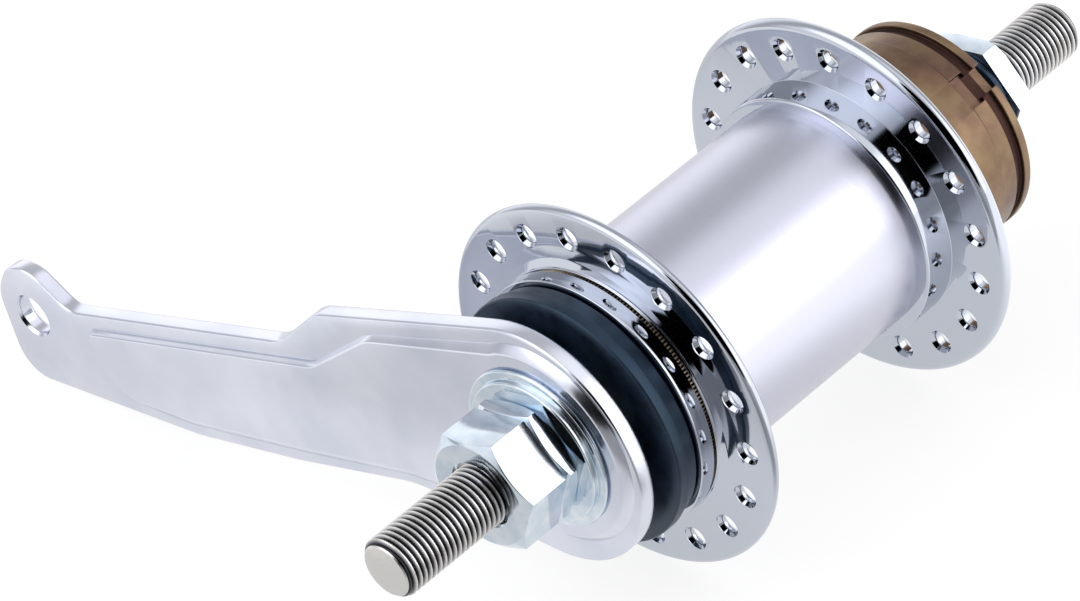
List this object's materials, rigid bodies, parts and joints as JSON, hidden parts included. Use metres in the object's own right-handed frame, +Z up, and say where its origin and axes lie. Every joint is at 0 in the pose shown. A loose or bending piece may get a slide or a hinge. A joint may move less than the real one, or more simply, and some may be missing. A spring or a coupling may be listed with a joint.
{
  "type": "coaster brake hub",
  "caption": "Rear bicycle hub with a back-pedal brake: chromed shell with spoke flanges, brake arm on the left, sprocket driver on the right, threaded axle through both.",
  "frame": {"origin": "on the axle, midway between the outer faces of the two locknuts", "axes": "+Y along the axle from the brake arm side to the sprocket side, +Z up, +X away from the brake arm, which points to -X and a little down; the hub stands on both flange rims and the arm's heel"},
  "size_m": [0.1493, 0.147, 0.0588],
  "materials": {
    "chrome": "polished chrome plate",
    "zinc": "bright zinc plate, bluish",
    "nickel": "tumbled and nickel plated sheet steel",
    "thread_steel": "plain rolled steel thread",
    "black_sheet": "satin black sheet steel",
    "brown_steel": "heat-browned hardened steel",
    "dark_steel": "hardened steel",
    "ball_steel": "polished steel",
    "cage_brass": "pressed brass"
  },
  "bodies": {
    "frame_side": {"axle": "thread_steel", "left_locknut": "zinc", "arm_nut": "zinc", "arm_washer": "zinc", "brake_arm": "nickel", "left_dust_cap": "black_sheet", "brake_cone": "dark_steel", "drag_spring": "ball_steel", "right_cone": "zinc", "right_washer": "zinc", "right_locknut": "zinc"},
    "shell": {"hub_barrel": "chrome", "left_flange": "chrome", "right_flange": "chrome", "left_ball_cup": "brown_steel", "left_shell_ring": "chrome", "right_ball_cup": "brown_steel"},
    "left_bearing": {"left_ball_cage": "cage_brass", "left_balls": "ball_steel"},
    "driver": {"driver": "brown_steel", "driver_dust_ring": "black_sheet"},
    "right_outer_bearing": {"right_outer_cage": "cage_brass", "right_outer_balls": "ball_steel"},
    "right_inner_bearing": {"right_inner_cage": "cage_brass", "right_inner_balls": "ball_steel"},
    "clutch_cone": {"clutch_cone": "dark_steel"},
    "roller_guide": {"roller_guide": "brown_steel"},
    "roller_1": {"roller_1": "ball_steel"},
    "roller_2": {"roller_2": "ball_steel"},
    "roller_3": {"roller_3": "ball_steel"},
    "roller_4": {"roller_4": "ball_steel"},
    "roller_5": {"roller_5": "ball_steel"},
    "brake_shoe_1": {"brake_shoe_1": "dark_steel"},
    "brake_shoe_2": {"brake_shoe_2": "dark_steel"},
    "brake_shoe_3": {"brake_shoe_3": "dark_steel"},
    "shoe_spring": {"shoe_spring": "ball_steel"}
  },
  "joints": [
    {"name": "shell_spin", "type": "hinge", "parent": "frame_side", "child": "shell", "pos_m": [0, 0, 0], "axis": [0, 1, 0], "continuous": true},
    {"name": "driver_spin", "type": "hinge", "parent": "frame_side", "child": "driver", "pos_m": [0, 0, 0], "axis": [0, 1, 0], "continuous": true},
    {"name": "left_bearing_spin", "type": "hinge", "parent": "frame_side", "child": "left_bearing", "pos_m": [0, -0.0298, 0], "axis": [0, 1, 0], "continuous": true},
    {"name": "right_outer_bearing_spin", "type": "hinge", "parent": "frame_side", "child": "right_outer_bearing", "pos_m": [0, 0.023, 0], "axis": [0, 1, 0], "continuous": true},
    {"name": "right_inner_bearing_spin", "type": "hinge", "parent": "frame_side", "child": "right_inner_bearing", "pos_m": [0, 0.0395, 0], "axis": [0, 1, 0], "continuous": true},
    {"name": "brake_apply", "type": "slide", "parent": "driver", "child": "clutch_cone", "axis": [0, -1, 0], "range_m": [0, 0.0014], "stiffness_N_per_m": 200},
    {"name": "guide_shift", "type": "hinge", "parent": "driver", "child": "roller_guide", "pos_m": [0, 0.00922, 0], "axis": [0, 1, 0], "range_deg": [0, 8]},
    {"name": "roller_1_climb", "type": "slide", "parent": "roller_guide", "child": "roller_1", "axis": [1, 0, 0], "range_m": [0, 0.000275]},
    {"name": "roller_2_climb", "type": "slide", "parent": "roller_guide", "child": "roller_2", "axis": [0.309, 0, -0.9511], "range_m": [0, 0.000275]},
    {"name": "roller_3_climb", "type": "slide", "parent": "roller_guide", "child": "roller_3", "axis": [-0.809, 0, -0.5878], "range_m": [0, 0.000275]},
    {"name": "roller_4_climb", "type": "slide", "parent": "roller_guide", "child": "roller_4", "axis": [-0.809, 0, 0.5878], "range_m": [0, 0.000275]},
    {"name": "roller_5_climb", "type": "slide", "parent": "roller_guide", "child": "roller_5", "axis": [0.309, 0, 0.9511], "range_m": [0, 0.000275]},
    {"name": "shoe_1_spread", "type": "slide", "parent": "frame_side", "child": "brake_shoe_1", "axis": [-0.2962, -0.9397, 0.171], "range_m": [0, 0.0007469]},
    {"name": "shoe_2_spread", "type": "slide", "parent": "frame_side", "child": "brake_shoe_2", "axis": [0, -0.9397, -0.342], "range_m": [0, 0.0007469]},
    {"name": "shoe_3_spread", "type": "slide", "parent": "frame_side", "child": "brake_shoe_3", "axis": [0.2962, -0.9397, 0.171], "range_m": [0, 0.0007469]},
    {"name": "shoe_spring_shift", "type": "slide", "parent": "frame_side", "child": "shoe_spring", "axis": [0, -1, 0], "range_m": [0, 0.00071]}
  ],
  "couplings": [
    {"joint": "left_bearing_spin", "follows": "shell_spin", "ratio": 0.5838},
    {"joint": "right_outer_bearing_spin", "follows": "shell_spin", "ratio": 0.5628},
    {"joint": "right_inner_bearing_spin", "follows": "driver_spin", "ratio": 0.5877},
    {"joint": "roller_1_climb", "follows": "guide_shift", "m_per_rad": 0.0019337},
    {"joint": "roller_2_climb", "follows": "guide_shift", "m_per_rad": 0.0019337},
    {"joint": "roller_3_climb", "follows": "guide_shift", "m_per_rad": 0.0019337},
    {"joint": "roller_4_climb", "follows": "guide_shift", "m_per_rad": 0.0019337},
    {"joint": "roller_5_climb", "follows": "guide_shift", "m_per_rad": 0.0019337},
    {"joint": "shoe_1_spread", "follows": "brake_apply", "ratio": 0.53208},
    {"joint": "shoe_2_spread", "follows": "brake_apply", "ratio": 0.53208},
    {"joint": "shoe_3_spread", "follows": "brake_apply", "ratio": 0.53208},
    {"joint": "shoe_spring_shift", "follows": "brake_apply", "ratio": 0.5}
  ]
}
